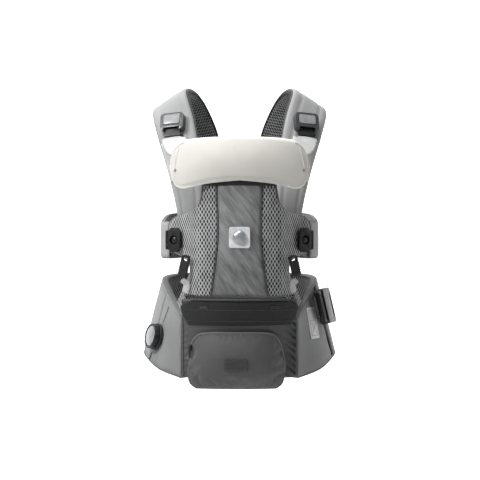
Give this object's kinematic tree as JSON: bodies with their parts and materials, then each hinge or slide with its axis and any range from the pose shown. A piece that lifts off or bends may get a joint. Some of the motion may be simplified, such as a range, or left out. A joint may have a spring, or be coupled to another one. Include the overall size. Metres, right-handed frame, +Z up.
{
  "type": "soft baby carrier",
  "caption": "Soft front baby carrier with padded shoulder straps, a hip seat with zipped pocket, a waist belt, side-release and round-button clips, a tension dial and a fold-down head support.",
  "frame": {"origin": "on the carrier's mid plane, level with the pocket's lowest edge, just in front of the wearer's belly and behind the hip seat's front face", "axes": "+X towards the buckle side (the wearer's left), +Y from the hip seat towards the wearer's back, +Z up"},
  "size_m": [0.4191, 0.4111, 0.6421],
  "materials": {
    "grey_fabric": "smooth light grey woven cloth with a faint sheen",
    "dark_fabric": "charcoal woven cloth",
    "spacer_mesh": "open light grey spacer mesh over a darker layer",
    "dark_mesh": "dark grey air mesh",
    "jacquard": "grey jacquard with slanting streaks",
    "cream_fabric": "soft cream cotton",
    "white_webbing": "flat white woven tape",
    "black_plastic": "black moulded plastic, satin to gloss",
    "grey_plastic": "mid grey moulded plastic",
    "silver": "satin silver plate",
    "rubber_patch": "dark soft patch",
    "foam": "moulded foam, out of sight"
  },
  "bodies": {
    "carrier": {"panel_centre_strip": "jacquard", "panel_mesh_left": "spacer_mesh", "panel_mesh_right": "spacer_mesh", "panel_lining": "dark_mesh", "badge_plate": "silver", "badge_dome": "silver", "seat_core": "foam", "seat_front_cover": "grey_fabric", "seat_top_pad": "dark_mesh", "seat_flap": "dark_fabric", "pocket_bag": "grey_fabric", "pocket_patch": "rubber_patch", "belt_wing_left": "grey_fabric", "belt_back": "grey_fabric", "belt_wing_right": "grey_fabric", "belt_lining": "dark_mesh", "dial_base": "black_plastic", "dial_lace_upper": "black_plastic", "dial_lace_lower": "black_plastic", "waist_buckle_housing": "black_plastic", "waist_webbing_back": "white_webbing", "care_label": "white_webbing", "shoulder_strap_left": "grey_fabric", "shoulder_lining_left": "dark_mesh", "side_band_left": "grey_fabric", "shoulder_strap_right": "grey_fabric", "shoulder_lining_right": "dark_mesh", "side_band_right": "grey_fabric", "back_yoke": "grey_fabric", "strap_buckle_left": "grey_plastic", "neck_tab_left": "white_webbing", "strap_buckle_right": "grey_plastic", "neck_tab_right": "white_webbing", "wing_clip_base_left": "black_plastic", "wing_clip_base_right": "black_plastic", "leg_webbing_left": "white_webbing", "leg_webbing_right": "white_webbing"},
    "head_rest": {"head_support": "cream_fabric", "head_support_snap_left": "grey_plastic", "head_support_snap_right": "grey_plastic"},
    "dial_core": {"dial_spindle": "black_plastic"},
    "dial_grip": {"dial_knob": "black_plastic", "dial_cap": "silver"},
    "wing_clip_frame_left": {"wing_clip_left": "black_plastic"},
    "wing_clip_button_left": {"wing_button_left": "black_plastic"},
    "strap_buckle_button_left": {"strap_button_left": "grey_plastic"},
    "strap_buckle_tongue_left": {"strap_tongue_left": "black_plastic"},
    "leg_adjuster_left": {"leg_clip_left": "black_plastic"},
    "wing_clip_frame_right": {"wing_clip_right": "black_plastic"},
    "wing_clip_button_right": {"wing_button_right": "black_plastic"},
    "strap_buckle_button_right": {"strap_button_right": "grey_plastic"},
    "strap_buckle_tongue_right": {"strap_tongue_right": "black_plastic"},
    "leg_adjuster_right": {"leg_clip_right": "black_plastic"},
    "waist_tongue": {"waist_buckle_tongue": "black_plastic", "waist_webbing_front": "white_webbing"},
    "waist_prong_top": {"waist_buckle_prong_upper": "black_plastic"},
    "waist_prong_bottom": {"waist_buckle_prong_lower": "black_plastic"},
    "zip_slider": {"pocket_zip_slider": "black_plastic"},
    "zip_puller": {"pocket_zip_puller": "black_plastic"}
  },
  "joints": [
    {"name": "head_support_fold", "type": "hinge", "parent": "carrier", "child": "head_rest", "pos_m": [0, -0.152, 0.51], "axis": [-1, 0, 0], "range_deg": [0, 150]},
    {"name": "dial_pull", "type": "slide", "parent": "carrier", "child": "dial_core", "axis": [-0.8701, -0.4489, 0.2036], "range_m": [0, 0.003]},
    {"name": "dial_turn", "type": "hinge", "parent": "dial_core", "child": "dial_grip", "pos_m": [-0.17599, -0.01554, 0.10187], "axis": [-0.8701, -0.4489, 0.2036], "continuous": true},
    {"name": "wing_clip_off_left", "type": "slide", "parent": "carrier", "child": "wing_clip_frame_left", "axis": [-0.4983, -0.867, 0], "range_m": [0, 0.012]},
    {"name": "wing_button_press_left", "type": "slide", "parent": "carrier", "child": "wing_clip_button_left", "axis": [0.4983, 0.867, 0], "range_m": [0, 0.0016], "stiffness_N_per_m": 900},
    {"name": "strap_button_press_left", "type": "slide", "parent": "carrier", "child": "strap_buckle_button_left", "axis": [0.2959, 0.8854, -0.3584], "range_m": [0, 0.002], "stiffness_N_per_m": 900},
    {"name": "strap_tongue_out_left", "type": "slide", "parent": "carrier", "child": "strap_buckle_tongue_left", "axis": [-0.0356, -0.3647, -0.9304], "range_m": [0, 0.018], "deforming": ["neck_tab_left"]},
    {"name": "leg_adjuster_slide_left", "type": "slide", "parent": "carrier", "child": "leg_adjuster_left", "axis": [0.2104, -0.23, 0.9502], "range_m": [0, 0.022]},
    {"name": "wing_clip_off_right", "type": "slide", "parent": "carrier", "child": "wing_clip_frame_right", "axis": [0.4983, -0.867, 0], "range_m": [0, 0.012]},
    {"name": "wing_button_press_right", "type": "slide", "parent": "carrier", "child": "wing_clip_button_right", "axis": [-0.4983, 0.867, 0], "range_m": [0, 0.0016], "stiffness_N_per_m": 900},
    {"name": "strap_button_press_right", "type": "slide", "parent": "carrier", "child": "strap_buckle_button_right", "axis": [-0.2959, 0.8854, -0.3584], "range_m": [0, 0.002], "stiffness_N_per_m": 900},
    {"name": "strap_tongue_out_right", "type": "slide", "parent": "carrier", "child": "strap_buckle_tongue_right", "axis": [0.0356, -0.3647, -0.9304], "range_m": [0, 0.018], "deforming": ["neck_tab_right"]},
    {"name": "leg_adjuster_slide_right", "type": "slide", "parent": "carrier", "child": "leg_adjuster_right", "axis": [-0.2104, -0.23, 0.9502], "range_m": [0, 0.022]},
    {"name": "waist_tongue_out", "type": "slide", "parent": "carrier", "child": "waist_tongue", "axis": [-0.3021, -0.9533, 0], "range_m": [0, 0.034]},
    {"name": "waist_prong_squeeze_upper", "type": "hinge", "parent": "waist_tongue", "child": "waist_prong_top", "pos_m": [0.17034, -0.0077, 0.18447], "axis": [-0.9271, 0.2938, -0.2329], "range_deg": [0, 3.5], "stiffness_Nm_per_rad": 2},
    {"name": "waist_prong_squeeze_lower", "type": "hinge", "parent": "waist_tongue", "child": "waist_prong_bottom", "pos_m": [0.179, -0.01045, 0.14654], "axis": [0.9271, -0.2938, 0.2329], "range_deg": [0, 3.5], "stiffness_Nm_per_rad": 2},
    {"name": "pocket_zip_run", "type": "slide", "parent": "carrier", "child": "zip_slider", "axis": [0, 0, 1], "range_m": [0, 0.02]},
    {"name": "zip_puller_swing", "type": "hinge", "parent": "zip_slider", "child": "zip_puller", "pos_m": [-0.10132, -0.11739, 0.088], "axis": [-0.5524, -0.8336, 0], "range_deg": [-45, 45]}
  ],
  "couplings": [
    {"joint": "waist_prong_squeeze_lower", "follows": "waist_prong_squeeze_upper", "ratio": 1}
  ]
}
